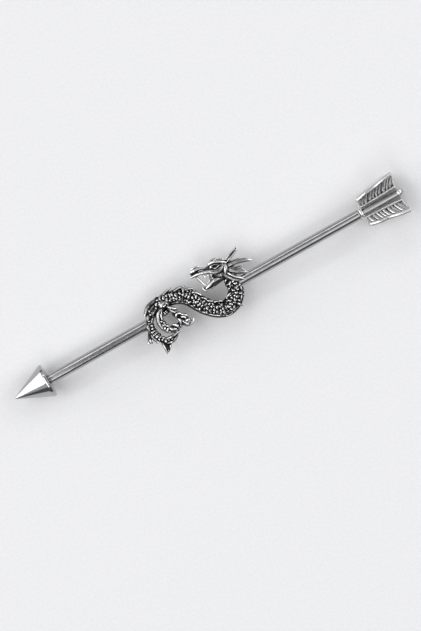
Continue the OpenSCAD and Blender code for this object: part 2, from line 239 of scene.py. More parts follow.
def bump_into(material, shader, height, distance):
    """Feeds a height to the shader's normal."""
    bump = material.node_tree.nodes.new("ShaderNodeBump")
    bump.inputs["Distance"].default_value = distance
    material.node_tree.links.new(height, bump.inputs["Height"])
    material.node_tree.links.new(bump.outputs["Normal"], shader.inputs["Normal"])


hairlines = hairline_group()
shank_finish, shank_shader = metal("satin_steel", (0.45, 0.45, 0.45, 1))
shank_lines = put_group(shank_finish, hairlines, Length=(600, 24000, 24000), Low_Roughness=0.14,
                        High_Roughness=0.24)
shank_finish.node_tree.links.new(shank_lines.outputs["Roughness"], shank_shader.inputs["Roughness"])
bump_into(shank_finish, shank_shader, shank_lines.outputs["Height"], distance=0.000004)


def add_shank(name, root, end, y):
    """One shank from its root in the casting to its shoulder, with the threaded stud beyond."""
    toward = math.copysign(1, end - root)
    bm = bmesh.new()
    point = bm.verts.new((root, 0, 0))
    point = line_to(bm, point, root, shank_r)
    round_x = end - toward * shoulder_round
    point = line_to(bm, point, round_x, shank_r)
    point = arc_to(bm, point, round_x, shank_r - shoulder_round, toward * 90, steps=8)
    point = line_to(bm, point, end, thread_core_r)
    tip = end + toward * stud_l
    point = line_to(bm, point, tip - toward * shoulder_round, thread_core_r)
    point = line_to(bm, point, tip, thread_core_r - shoulder_round)
    line_to(bm, point, tip, 0)
    turn_on_lathe(bm)
    turns = round((stud_l - 2 * thread_pitch) / thread_pitch)
    foot_r = thread_core_r - thread_sink
    profile = (thread_gap, foot_r), (0.5, thread_crest_r), (1 - thread_gap, foot_r)
    loop = bm.faces.new([bm.verts.new((end + toward * (0.5 + share) * thread_pitch, 0, r))
                         for share, r in profile])
    bmesh.ops.spin(bm, geom=[loop], cent=(0, 0, 0), axis=(1, 0, 0), angle=math.tau * turns,
                   steps=turns * thread_steps, dvec=(toward * thread_pitch / thread_steps, 0, 0))
    bmesh.ops.translate(bm, verts=bm.verts, vec=(0, y, 0))
    add_piece(bm, name, "bar", shank_finish, "dragon_bar", turned_crease)


add_shank("left_shank", left_root, left_end, left_y)
add_shank("right_shank", right_root, right_end, right_y)

# Arrowhead: a cone turned from solid steel and mirror polished, with a round-shouldered rim.
# Its blind hole screws on to the left stud.
cone_r, tip_r, rim_r, rim_land, edge_r = 3.85 / 2, 0.15, 0.75, 0.05, 0.1
bore_r, bore_l, bore_mouth, drill_tip = 0.45, 2.35, 0.06, 0.2
tip_ring, middle_ring, rim_ring = 0.03, 2, 0.04
cone_finish, cone_shader = metal("mirror_steel", (0.44, 0.44, 0.45, 1))
cone_lines = put_group(cone_finish, hairlines, Length=(9000, 5000, 5000), Low_Roughness=0.09,
                       High_Roughness=0.15)
cone_finish.node_tree.links.new(cone_lines.outputs["Roughness"], cone_shader.inputs["Roughness"])
bump_into(cone_finish, cone_shader, cone_lines.outputs["Height"], distance=0.000003)

cone_bm = bmesh.new()
cone_back = tip_x + cone_l
tip_centre = Vector((tip_x + tip_r, 0))
rim_centre = Vector((cone_back - edge_r - rim_land, cone_r - rim_r))
side = rim_centre - tip_centre
side_angle = math.atan2(side.y, side.x) + math.asin((rim_r - tip_r) / side.length)
flank_way = Vector((math.cos(side_angle), math.sin(side_angle)))
flank_end = rim_centre + rim_r * Vector((-flank_way.y, flank_way.x))
point = cone_bm.verts.new((tip_x, 0, 0))
point = arc_to(cone_bm, point, tip_centre.x, 0, 90 - math.degrees(side_angle), steps=10)
# Rings close to both ends of the flank keep its reflections straight.
for back in (flank_way.dot(flank_end - tip_centre) - tip_ring, middle_ring, rim_ring, 0):
    spot = flank_end - flank_way * back
    point = line_to(cone_bm, point, spot.x, spot.y)
point = arc_to(cone_bm, point, rim_centre.x, rim_centre.y, math.degrees(side_angle), steps=16)
point = line_to(cone_bm, point, cone_back - edge_r, cone_r)
point = arc_to(cone_bm, point, cone_back - edge_r, cone_r - edge_r, 90, steps=10)
point = line_to(cone_bm, point, cone_back, bore_r + bore_mouth)
point = line_to(cone_bm, point, cone_back - bore_mouth, bore_r)
point = line_to(cone_bm, point, cone_back - bore_l, bore_r)
line_to(cone_bm, point, cone_back - bore_l - drill_tip, 0)
turn_on_lathe(cone_bm)
bmesh.ops.translate(cone_bm, verts=cone_bm.verts, vec=(0, left_y, 0))
add_piece(cone_bm, "arrowhead_cone", "arrowhead", cone_finish, "arrowhead",
          turned_crease)

# Arrow tail: one casting with a collar, a round core, four feather vanes set as an X, and the nock.
# It is plated and blackened in its recesses, and its blind hole screws on to the right stud.
tail_front = nock_x - tail_l
collar_l, collar_r, collar_round, collar_shoulder = 0.35, 0.66, 0.2, 0.1
tail_drill_tip, tail_mouth_l, tail_mouth_w = 0.15, 0.05, 0.04
core_r, core_swell = 0.49, 0.12
vane_start = tail_front + collar_l
core_from, core_to = vane_start + 0.14, nock_x - 0.9
vane_l, vane_sweep, vane_hollow, vane_root = 4.55, 0.38, 1.6, 0.4
vane_front, vane_rear = 2.35, 3.3
vane_bent = 0, 3, 0, -2  # degrees off an even X
panel_t, rim_w, rim_t, edge_w, edge_t, quill_w, quill_t = 0.26, 0.42, 0.52, 0.2, 0.42, 0.25, 0.76
quill_front, quill_rear = 1.05, 1.38
barb_count, barb_first, barb_pitch, barb_drift = 13, -0.9, 0.43, 0.1
barb_fill, barb_t, barb_least, barb_uneven = 1.05, 0.48, 0.84, 0.08
barb_lean, barb_bend, barb_step, barb_steps = 0.16, 0.14, 0.1, 29
front_gap, rear_gap, rim_gap = 0.05, 0.22, 0.2
# Profile of the nock. Columns: distance before its end, radius
NOCK = [[0.84, 0.53], [0.74, 0.57], [0.58, 0.56], [0.4, 0.47], [0.2, 0.3], [0.06, 0.15], [0, 0]]


def fuse_casting(bm, grain):
    """Fuses overlapping shells into one skin, as metal fills one mould, and rounds its edges."""
    rough = bpy.data.meshes.new("rough")
    bm.to_mesh(rough)
    bm.free()
    holder = bpy.data.objects.new("rough", rough)
    bpy.context.scene.collection.objects.link(holder)
    remesh = holder.modifiers.new("fuse", "REMESH")
    remesh.mode = "VOXEL"
    remesh.voxel_size = grain
    seen = holder.evaluated_get(bpy.context.evaluated_depsgraph_get())
    skin = bpy.data.meshes.new_from_object(seen)
    fused = bmesh.new()
    fused.from_mesh(skin)
    bpy.data.objects.remove(holder)
    bpy.data.meshes.remove(rough)
    bpy.data.meshes.remove(skin)
    bmesh.ops.smooth_vert(fused, verts=fused.verts, factor=0.5, use_axis_x=True,
                          use_axis_y=True, use_axis_z=True)
    return fused


def mark_polish_and_flank_shade(mesh, flanks, full_slope=0.7):
    """Stores how far the buffing wheel reached each point: fully on top, by a share on the flanks.
    The smaller share on the flanks is also painted shade.
    """
    normals = np.empty(len(mesh.vertices) * 3, np.float32)
    mesh.vertex_normals.foreach_get("vector", normals)
    reached = np.clip(normals[2::3] / full_slope, 0, 1)
    store = mesh.attributes.new("polish_and_flank_shade", "FLOAT", "POINT")
    store.data.foreach_set("value", (flanks + (1 - flanks) * reached).astype(np.float32))


def mark_recesses(mesh, name, rounds, depth, pull=0.6):
    """Stores how far each point lies below the smoothed surface: over 0.5 in a groove, under it on
    an edge."""
    count = len(mesh.vertices)
    points = np.empty(count * 3, np.float32)
    mesh.vertices.foreach_get("co", points)
    points = points.reshape(-1, 3)
    ends = np.empty(len(mesh.edges) * 2, np.int32)
    mesh.edges.foreach_get("vertices", ends)
    near, far = ends[::2], ends[1::2]
    normals = np.empty(count * 3, np.float32)
    mesh.vertex_normals.foreach_get("vector", normals)
    neighbours = np.bincount(ends, minlength=count)
    smooth = points.astype(float)
    for _ in range(rounds):
        total = np.stack([np.bincount(near, smooth[far, axis], count)
                          + np.bincount(far, smooth[near, axis], count) for axis in range(3)], 1)
        smooth = (1 - pull) * smooth + pull * total / neighbours[:, None]
    below = ((smooth - points) * normals.reshape(-1, 3)).sum(1) / depth
    store = mesh.attributes.new(name, "FLOAT", "POINT")
    store.data.foreach_set("value", np.clip(0.5 + 0.5 * below, 0, 1).astype(np.float32))


def feed(links, socket, value):
    """Gives a socket a plain value, or links another socket to it."""
    if isinstance(value, bpy.types.NodeSocket):
        links.new(value, socket)
    else:
        socket.default_value = value


groove_share, hollow_share, patch_share = 0.62, 0.38, 0.16
black_from, black_full = 0.5, 0.74
worn_from, worn_full = 0.04, 0.28


def blackening_group():
    """Black oxide left in the recesses of a casting whose high spots are polished bright, less so
    on the flanks, where the dimming is painted shade.
    """
    group = bpy.data.node_groups.new("blackening", "ShaderNodeTree")
    face = group.interface
    for name in ("Groove", "Hollow", "Polish And Flank Shade", "Patch Size", "Coverage", "Wear"):
        face.new_socket(name, in_out="INPUT", socket_type="NodeSocketFloat")
    for name in ("Black", "Wear And Flank Shade", "Grain"):
        face.new_socket(name, in_out="OUTPUT", socket_type="NodeSocketFloat")
    nodes, links = group.nodes, group.links
    entry, out = nodes.new("NodeGroupInput"), nodes.new("NodeGroupOutput")
    place = nodes.new("ShaderNodeTexCoord")
    patches = nodes.new("ShaderNodeTexNoise")
    patches.inputs["Detail"].default_value = 5
    links.new(place.outputs["Object"], patches.inputs["Vector"])
    links.new(entry.outputs["Patch Size"], patches.inputs["Scale"])

    def join(kind, first, second):
        """One sum, product or difference of two values."""
        node = nodes.new("ShaderNodeMath")
        node.operation = kind
        feed(links, node.inputs[0], first)
        feed(links, node.inputs[1], second)
        return node.outputs["Value"]

    def ramp(value, low, high):
        """A smooth step from 0 at low to 1 at high."""
        node = nodes.new("ShaderNodeMapRange")
        node.interpolation_type = "SMOOTHSTEP"
        node.inputs["From Min"].default_value = low
        node.inputs["From Max"].default_value = high
        links.new(value, node.inputs["Value"])
        return node.outputs["Result"]

    depth = join("ADD", join("MULTIPLY", entry.outputs["Groove"], groove_share),
                 join("MULTIPLY", entry.outputs["Hollow"], hollow_share))
    depth = join("ADD", depth, join("MULTIPLY", patches.outputs["Fac"], patch_share))
    depth = join("ADD", depth, entry.outputs["Coverage"])
    links.new(ramp(depth, black_from, black_full), out.inputs["Black"])
    # Bright worn high spots, held back on the flanks by the painted shade in the polish mask.
    height = join("SUBTRACT", entry.outputs["Wear"], entry.outputs["Groove"])
    wear_and_flank_shade = join("MULTIPLY", ramp(height, worn_from, worn_full), entry.outputs["Polish And Flank Shade"])
    links.new(wear_and_flank_shade, out.inputs["Wear And Flank Shade"])
    links.new(patches.outputs["Fac"], out.inputs["Grain"])
    return group


blackening = blackening_group()
bright_plate, black_oxide = (0.88, 0.88, 0.87, 1), (0.012, 0.012, 0.013, 1)
buffed_roughness, cast_roughness, oxide_roughness = 0.16, 0.3, 0.55


def antiqued(name, coverage, wear, tone, patch_size=9000):
    """A cast metal of a grey tone with blackened recesses and bright buffed edges, which painted
    shade dims on the flanks.
    """
    made, shader = metal(name, bright_plate)
    nodes, links = made.node_tree.nodes, made.node_tree.links
    marks = put_group(made, blackening, Patch_Size=patch_size, Coverage=coverage, Wear=wear)
    for socket, attribute in (("Groove", "groove"), ("Hollow", "hollow"), ("Polish And Flank Shade", "polish_and_flank_shade")):
        reader = nodes.new("ShaderNodeAttribute")
        reader.attribute_name = attribute
        links.new(reader.outputs["Fac"], marks.inputs[socket])

    def blend(kind, mask, low, high):
        """Mixes two colours or values by a mask."""
        node = nodes.new("ShaderNodeMix")
        node.data_type = kind
        factor, first, second = (socket for socket in node.inputs if socket.enabled)
        for socket, value in ((factor, mask), (first, low), (second, high)):
            feed(links, socket, value)
        return next(socket for socket in node.outputs if socket.enabled)

    plate = blend("RGBA", marks.outputs["Wear And Flank Shade"], (tone, tone, tone, 1), bright_plate)
    color = blend("RGBA", marks.outputs["Black"], plate, black_oxide)
    links.new(color, shader.inputs["Base Color"])
    polish_and_flank_shade = blend("FLOAT", marks.outputs["Wear And Flank Shade"], cast_roughness, buffed_roughness)
    roughness = blend("FLOAT", marks.outputs["Black"], polish_and_flank_shade, oxide_roughness)
    links.new(roughness, shader.inputs["Roughness"])
    bump_into(made, shader, marks.outputs["Grain"], distance=0.000006)
    return made


def follow(rows, spacing, curve_steps=40):
    """Evenly spaced rows along the smooth curve through a table, and the curve's way at each."""
    table = np.array(rows, float)
    padded = np.vstack([2 * table[0] - table[1], table, 2 * table[-1] - table[-2]])
    u = np.linspace(0, len(table) - 1 - 1e-9, curve_steps * (len(table) - 1))
    row = u.astype(int)
    t = (u - row)[:, None]
    a, b, c, d = (padded[row + k] for k in range(4))
    dense = 0.5 * (2 * b + (c - a) * t + (2 * a - 5 * b + 4 * c - d) * t ** 2
                   + (3 * b - a - 3 * c + d) * t ** 3)
    run = np.concatenate([[0], np.cumsum(np.linalg.norm(np.diff(dense[:, :3], axis=0), axis=1))])
    at = np.linspace(0, run[-1], max(3, round(run[-1] / spacing)) + 1)
    even = np.stack([np.interp(at, run, column) for column in dense.T], 1)
    way = np.gradient(even[:, :3], axis=0)
    return even, way / np.linalg.norm(way, axis=1)[:, None]


def station(row, way):
    """A matrix that lays a unit ring across a limb: X to its left, Y up and Z along it."""
    along = Vector(way)
    side = Vector((0, 0, 1)).cross(along).normalized()
    up = along.cross(side)
    matrix = Matrix((side * row[3] / 2, up * row[4] / 2, along)).transposed().to_4x4()
    matrix.translation = row[:3]
    return matrix


def add_limb(bm, rows, spacing, sides):
    """A closed tapering limb of oval section, drawn along the curve through a table."""
    places = [station(row, way) for row, way in zip(*follow(rows, spacing))]
    ring = bmesh.ops.create_circle(bm, cap_ends=True, segments=sides, radius=1, matrix=places[0])
    edges = list({edge for vert in ring["verts"] for edge in vert.link_edges})
    for before, after in zip(places, places[1:]):
        made = bmesh.ops.extrude_edge_only(bm, edges=edges)["geom"]
        fresh = {part for part in made if isinstance(part, bmesh.types.BMVert)}
        edges = [part for part in made if isinstance(part, bmesh.types.BMEdge)
                 and part.verts[0] in fresh and part.verts[1] in fresh]
        bmesh.ops.transform(bm, verts=list(fresh), matrix=after @ before.inverted())
    bmesh.ops.contextual_create(bm, geom=edges)


def pour(part, bm):
    """Moves one mesh into another."""
    rough = bpy.data.meshes.new("part")
    part.to_mesh(rough)
    part.free()
    bm.from_mesh(rough)
    bpy.data.meshes.remove(rough)


def add_limbs(bm, tables, spacing=0.12, sides=12, plump=0.0):
    """Several limbs, each made apart so that a long list stays quick, and plumped by a width."""
    for rows in tables:
        limb = bmesh.new()
        add_limb(limb, [[x, y, z, w + plump, d + plump] for x, y, z, w, d in rows], spacing, sides)
        pour(limb, bm)


def vane_rear_x(r):
    """Where a vane's hollow rear edge stands at a distance from the axis."""
    share = (r - vane_root) / (vane_rear - vane_root)
    return vane_l + vane_sweep * (vane_hollow * share ** 2 - share)


def vane_edge_r(x):
    """How far out a vane's outer edge is at a place along it."""
    return vane_front + (vane_rear - vane_front) * x / vane_l


def quill_r(x):
    """How far out a vane's quill is at a place along it."""
    return quill_front + (quill_rear - quill_front) * x / vane_l


def barb(start_x, wide, deep):
    """A table for one barb, which leaves the quill, leans back and curves outwards to the rim; an
    empty one where only a stump would fit."""
    reach = [quill_r(start_x) + barb_step * step for step in range(barb_steps)]
    curve = [(start_x + barb_lean * (r - reach[0]) + barb_bend * (r - reach[0]) ** 2, r)
             for r in reach]
    curve = [(x, r) for x, r in curve
             if front_gap < x < vane_rear_x(r) - rear_gap and r < vane_edge_r(x) - rim_gap]
    shortest = 5 if start_x < 0 else 12
    if len(curve) < shortest:
        return []
    return [(*curve[n], 0, wide * share, deep * share)
            for n, share in ((0, 0.9), (len(curve) // 2, 1), (-1, 0.95))]


def add_vane(bm, turn, which):
    """One feather: a thin panel, its thick rounded rim, its quill near the root and its barbs."""
    vane = bmesh.new()
    inset = rim_w / 2
    outline = [(0.0, vane_root), (0.0, vane_front - inset)]
    outline += [(vane_rear_x(r), r) for r in np.linspace(vane_rear - inset, vane_root, 12)]
    panel = vane.faces.new([vane.verts.new((x, y, -panel_t / 2)) for x, y in outline])
    made = bmesh.ops.extrude_face_region(vane, geom=[panel], use_keep_orig=True)["geom"]
    top = [part for part in made if isinstance(part, bmesh.types.BMVert)]
    bmesh.ops.translate(vane, verts=top, vec=(0, 0, panel_t))
    rim = [(x, vane_edge_r(x) - inset + out, 0, rim_w * wide, rim_t) for x, out, wide in (
        (0.1, -0.03, 0.9), (1.2, 0.03, 1.05), (2.3, -0.03, 0.9), (3.4, 0.02, 1.05),
        (vane_l + 0.12, 0, 1.1))]
    quill = [(x, quill_r(x), 0, quill_w * wide, quill_t * wide) for x, wide in (
        (0.1, 0.8), (1.5, 1), (3.0, 1.1), (vane_l - 0.1, 1))]
    rear = [(vane_rear_x(r) - 0.06, r, 0, edge_w, edge_t)
            for r in np.linspace(quill_rear, vane_rear - inset, 5)]
    add_limbs(vane, [rim, quill, rear], spacing=0.2)
    starts = [barb_pitch * (k + barb_drift * ((k * 7 + which * 3) % 4)) + barb_first
              for k in range(barb_count + 2)]
    for k, (before, start, after) in enumerate(zip(starts, starts[1:], starts[2:])):
        deep = barb_t * (barb_least + barb_uneven * ((k * 3 + which) % 5))
        rows = barb(start, barb_fill * (after - before) / 2, deep)
        if rows:
            add_limbs(vane, [rows])
    bmesh.ops.transform(vane, verts=vane.verts, matrix=Matrix.Translation((vane_start, 0, 0))
                        @ Matrix.Rotation(turn, 4, "X"))
    pour(vane, bm)


# The tail's turned middle: its blind hole, collar, core and nock.
tail_bm = bmesh.new()
point = tail_bm.verts.new((tail_front + bore_l + tail_drill_tip, 0, 0))
for x, r in ((bore_l, bore_r), (tail_mouth_l, bore_r), (0, bore_r + tail_mouth_w),
             (0, collar_r - collar_round)):
    point = line_to(tail_bm, point, tail_front + x, r)
collar_back = tail_front + collar_l - collar_shoulder
point = arc_to(tail_bm, point, tail_front + collar_round, collar_r - collar_round, 90, steps=8)
point = line_to(tail_bm, point, collar_back, collar_r)
point = arc_to(tail_bm, point, collar_back, collar_r - collar_round, 90, steps=8)
for share in np.linspace(0, 1, 15):
    point = line_to(tail_bm, point, core_from + (core_to - core_from) * share,
                    core_r + core_swell * math.sin(math.pi * share))
for before, r in NOCK:
    point = line_to(tail_bm, point, nock_x - before, r)
turn_on_lathe(tail_bm)
for k, bent in enumerate(vane_bent):
    add_vane(tail_bm, math.radians(45 + 90 * k + bent), k)
bmesh.ops.translate(tail_bm, verts=tail_bm.verts, vec=(0, right_y, 0))
bmesh.ops.recalc_face_normals(tail_bm, faces=tail_bm.faces)
tail_finish = antiqued("antiqued_feathers", coverage=-0.13, wear=0.52, tone=0.52)
feathers = add_piece(fuse_casting(tail_bm, grain=0.036), "feathered_tail", "arrow_tail",
                     tail_finish, "arrow_tail")
mark_recesses(feathers.data, "groove", rounds=8, depth=0.00002)
mark_recesses(feathers.data, "hollow", rounds=60, depth=0.00007)
mark_polish_and_flank_shade(feathers.data, flanks=1)
thinner = feathers.modifiers.new("fewer_faces", "DECIMATE")
thinner.ratio = 0.65

# Dragon's body: the S of its back and belly, the tail that loops round, its spines and its fins.
# It is one silver-coloured casting with a flat back, soldered over the ends of both shanks, and
# blackened so that only the tops of its scales are bright; painted shade also dims their flanks.

# Columns of every table: x, y, z of the centre, width, depth
BODY = [
    [2.75, 0.95, 0.15, 1.2, 1.3], [2.8, 0.2, 0.1, 1.3, 1.35], [2.82, -0.6, 0.05, 1.4, 1.4],
    [2.5, -1.4, 0.05, 1.5, 1.4], [1.85, -1.98, 0.05, 1.55, 1.4], [1.0, -2.2, 0.05, 1.55, 1.4],
    [0.15, -2.0, 0.05, 1.5, 1.4], [-0.6, -1.45, 0.05, 1.5, 1.4], [-1.2, -0.75, 0.05, 1.55, 1.4],
    [-1.65, 0.0, 0.05, 1.6, 1.4], [-2.1, 0.7, 0.05, 1.55, 1.4], [-2.8, 1.3, 0.05, 1.4, 1.4],
    [-3.65, 1.65, 0.05, 1.35, 1.35], [-4.6, 1.82, 0.05, 1.25, 1.3], [-5.55, 1.82, 0.08, 1.15, 1.25],
    [-6.4, 1.5, 0.08, 1.05, 1.3], [-7.05, 0.9, 0.06, 0.92, 1.3], [-7.4, 0.15, 0.06, 0.8, 1.25],
    [-7.42, -0.65, 0.08, 0.75, 1.1], [-7.22, -1.4, 0.1, 0.72, 0.95], [-6.75, -2.0, 0.1, 0.66, 0.82],
    [-6.1, -2.22, 0.1, 0.58, 0.72], [-5.4, -2.02, 0.12, 0.42, 0.55], [-4.7, -1.9, 0.15, 0.14, 0.24]]
SPINES = [
    [[-4.95, 2.05, 0.1, 0.42, 0.9], [-4.3, 2.5, 0.2, 0.3, 0.7], [-3.25, 2.78, 0.25, 0.09, 0.15]],
    [[-4.0, 1.92, 0.1, 0.5, 0.9], [-2.9, 2.24, 0.3, 0.34, 0.7], [-1.75, 2.1, 0.3, 0.1, 0.15]],
    [[-3.0, 1.55, 0.1, 0.5, 0.9], [-2.1, 1.72, 0.3, 0.34, 0.7], [-1.22, 1.44, 0.3, 0.1, 0.15]],
    [[-2.1, 1.2, 0.1, 0.48, 0.9], [-1.3, 0.95, 0.4, 0.34, 0.7], [-0.78, 0.2, 0.4, 0.16, 0.2]],
    [[-1.5, 0.4, 0.1, 0.46, 0.9], [-0.82, -0.02, 0.4, 0.28, 0.7], [-0.32, -0.7, 0.4, 0.12, 0.2]],
    [[-0.9, -0.3, 0.1, 0.42, 0.9], [-0.34, -0.64, 0.4, 0.24, 0.7], [0.12, -1.02, 0.4, 0.12, 0.2]],
    [[-0.3, -0.95, 0.1, 0.38, 0.9], [0.3, -1.06, 0.4, 0.24, 0.7], [0.9, -1.34, 0.4, 0.12, 0.2]],
    [[2.5, -1.0, 0.1, 0.36, 0.9], [2.0, -1.02, 0.4, 0.28, 0.7], [1.44, -1.22, 0.4, 0.12, 0.2]],
    [[2.45, -0.35, 0.1, 0.3, 0.9], [2.2, -0.48, 0.4, 0.24, 0.7], [1.96, -0.7, 0.4, 0.12, 0.2]],
    [[2.45, 0.1, 0.1, 0.3, 0.9], [2.22, 0.0, 0.4, 0.24, 0.7], [2.0, -0.22, 0.4, 0.12, 0.2]],
    [[2.45, 0.55, 0.1, 0.3, 0.9], [2.24, 0.44, 0.4, 0.24, 0.7], [2.02, 0.24, 0.4, 0.12, 0.2]],
    [[1.85, -2.05, 0.2, 0.6, 0.9], [2.24, -2.42, 0.4, 0.4, 0.7], [2.58, -2.94, 0.3, 0.1, 0.15]],
    [[0.2, -2.6, 0.1, 0.26, 0.9], [0.72, -2.84, 0.3, 0.34, 0.7], [1.28, -2.7, 0.3, 0.2, 0.4]],
    # the small oval ring below the belly
    [[0.4, -2.88, 0.5, 0.08, 0.5], [0.62, -2.78, 0.5, 0.09, 0.5], [1.0, -2.78, 0.5, 0.09, 0.5],
     [1.23, -2.88, 0.5, 0.08, 0.5]],
    [[0.4, -2.91, 0.5, 0.08, 0.5], [0.64, -3.01, 0.5, 0.09, 0.5], [1.0, -3.01, 0.5, 0.09, 0.5],
     [1.23, -2.91, 0.5, 0.08, 0.5]]]
CRESTS = [
    [[-5.1, 2.28, 0.2, 0.3, 0.4], [-5.9, 2.24, 0.5, 0.46, 0.5], [-6.7, 1.96, 0.5, 0.5, 0.5],
     [-7.38, 1.38, 0.35, 0.22, 0.3]],
    [[-5.4, 1.94, 0.5, 0.24, 0.4], [-6.2, 1.76, 0.64, 0.34, 0.4], [-7.04, 1.22, 0.55, 0.2, 0.3]],
    [[-5.55, 1.6, 0.5, 0.22, 0.4], [-6.15, 1.4, 0.64, 0.32, 0.4], [-6.7, 0.98, 0.55, 0.18, 0.3]],
    [[-6.6, 1.4, 0.4, 0.28, 0.4], [-7.1, 1.02, 0.6, 0.5, 0.5], [-7.52, 0.46, 0.5, 0.34, 0.3]],
    [[-6.6, 0.98, 0.4, 0.2, 0.4], [-6.96, 0.62, 0.6, 0.3, 0.4], [-7.18, 0.12, 0.5, 0.2, 0.3]],
    [[-7.28, 0.52, 0.4, 0.28, 0.4], [-7.62, 0.08, 0.5, 0.5, 0.6], [-7.7, -0.58, 0.4, 0.32, 0.4]],
    [[-7.56, -0.4, 0.3, 0.24, 0.4], [-7.72, -1.05, 0.35, 0.34, 0.5], [-7.48, -1.9, 0.3, 0.24, 0.4]],
    [[-6.6, -1.98, 0.3, 0.24, 0.4], [-5.7, -2.02, 0.42, 0.26, 0.4], [-4.7, -1.88, 0.25, 0.12, 0.2]],
    [[-6.7, -2.4, 0.2, 0.24, 0.4], [-5.95, -2.5, 0.3, 0.3, 0.4], [-5.22, -2.12, 0.25, 0.14, 0.2]]]
FINS = [
    [[-7.5, -0.2, 0.05, 0.5, 0.7], [-7.92, -0.82, 0.1, 0.54, 0.5], [-8.36, -1.35, 0.1, 0.34, 0.35],
     [-8.56, -1.56, 0.1, 0.12, 0.2]],
    [[-7.08, -1.9, 0.1, 0.3, 0.6], [-7.12, -2.6, 0.15, 0.26, 0.5], [-7.14, -3.1, 0.15, 0.28, 0.4],
     [-7.27, -3.46, 0.1, 0.12, 0.2]],
    [[-6.8, -2.1, 0.1, 0.7, 0.6], [-6.86, -2.6, 0.12, 0.6, 0.5], [-6.98, -3.22, 0.12, 0.28, 0.4]],
    [[-7.95, -0.95, 0.1, 0.2, 0.4], [-8.2, -1.3, 0.2, 0.26, 0.3], [-8.12, -1.68, 0.1, 0.1, 0.2]],
    [[-6.45, -2.6, 0.1, 0.24, 0.4], [-6.6, -2.95, 0.15, 0.22, 0.36], [-7.03, -3.32, 0.1, 0.12, 0.2]]]
# Bands of scales. Columns: stretch, degrees round it from and to, pitch, half sizes, tilt
BODY_SCALES = [[BODY[1:15], 50, 202, 0.34, (0.32, 0.22, 0.085), 30],
               [BODY[14:18], 50, 115, 0.32, (0.22, 0.17, 0.1), 30],
               [BODY[17:], 0, 120, 0.34, (0.24, 0.17, 0.1), 30]]
scale_cover, scale_seat, full_size_w = 1.6, 0.02, 0.9
scale_least, scale_uneven = 0.78, 0.44
skew_least, skew_step, lift_least, lift_step = -42, 14, 0.6, 0.2
oval_share = 2.83  # the hypotenuse of an oval's two widths, in mean radii
# Two cords along the belly. Columns: degrees round the body, width
BELLY_CORDS = [[10, 0.34], [38, 0.26]]
cord_out, cord_share = 0.02, 0.7
# Rows of plates, below the belly's edge and down the throat. Columns: stretch, pitch, degrees round
# it, how far each plate runs on and stands off, half sizes
BELLY_PLATES = [[BODY[:17], 0.34, -36, (0.94, 0.34), (0.22, 0.24, 0.1)],
                [BODY[:4], 0.38, 14, (0.5, 0.86), (0.3, 0.3, 0.14)]]
back_z = -0.65

# One round bead, which is stretched into each scale and plate.
bead_bm = bmesh.new()
bmesh.ops.create_icosphere(bead_bm, subdivisions=3, radius=1)
bead = bpy.data.meshes.new("bead")
bead_bm.to_mesh(bead)
bead_bm.free()


def stamp_bead(bm, centre, long_way, lift_way, half):
    """An egg-shaped lump with given half sizes: along, across and up."""
    across = lift_way.cross(long_way).normalized()
    matrix = Matrix((long_way.normalized() * half[0], across * half[1],
                     long_way.cross(across).normalized() * half[2])).transposed().to_4x4()
    matrix.translation = centre
    copy = bead.copy()
    copy.transform(matrix)
    bm.from_mesh(copy)
    bpy.data.meshes.remove(copy)


def surface(place, degrees):
    """A point on a limb's skin and the way it faces; 0 is its left side and 90 its top."""
    a = math.radians(degrees)
    side, up = place.col[0].to_3d(), place.col[1].to_3d()
    facing = side * (math.cos(a) / side.length_squared) + up * (math.sin(a) / up.length_squared)
    return place @ Vector((math.cos(a), math.sin(a), 0)), facing.normalized()


def add_scales(bm, rows, first, last, pitch, half, tilt):
    """Rows of overlapping scales round a limb between two angles, uneven as if carved by hand."""
    for k, (row, way) in enumerate(zip(*follow(rows, pitch))):
        place = station(row, way)
        reach = math.radians(last - first) * math.hypot(row[3], row[4]) / oval_share
        count = max(2, round(reach / (scale_cover * half[1])))
        taper = min(1, row[3] / full_size_w)
        for j in range(count):
            degrees = first + (last - first) * (j + 0.25 + 0.5 * (k % 2)) / count
            centre, facing = surface(place, degrees)
            size = scale_least + scale_uneven * ((k * 5 + j * 3) % 7) / 6
            skew = math.radians(skew_least + skew_step * ((k * 3 + j * 5) % 7))
            along = Matrix.Rotation(skew, 3, facing) @ Vector(way)
            lift = math.radians(tilt * (lift_least + lift_step * ((k * 4 + j * 7) % 5)))
            free = along * math.cos(lift) + facing * math.sin(lift)
            sizes = [size * taper * side for side in half]
            stamp_bead(bm, centre + facing * scale_seat, free, facing, sizes)


def along_skin(rows, degrees, width, out, share):
    """A table for a round cord along a share of a limb's skin, at an angle round it."""
    even, ways = follow(rows, spacing=0.3)
    table = []
    for row, way in list(zip(even, ways))[:round(share * (len(even) - 1)) + 1]:
        point, facing = surface(station(row, way), degrees)
        table.append([*(point + facing * out), width, width])
    return table


def cut_back(bm, z):
    """Cuts every shell off flat below a height and closes it there."""
    made = bmesh.ops.bisect_plane(bm, geom=bm.verts[:] + bm.edges[:] + bm.faces[:],
                                  plane_co=(0, 0, z), plane_no=(0, 0, -1), clear_outer=True)
    rims = [part for part in made["geom_cut"] if isinstance(part, bmesh.types.BMEdge)]
    bmesh.ops.holes_fill(bm, edges=rims)


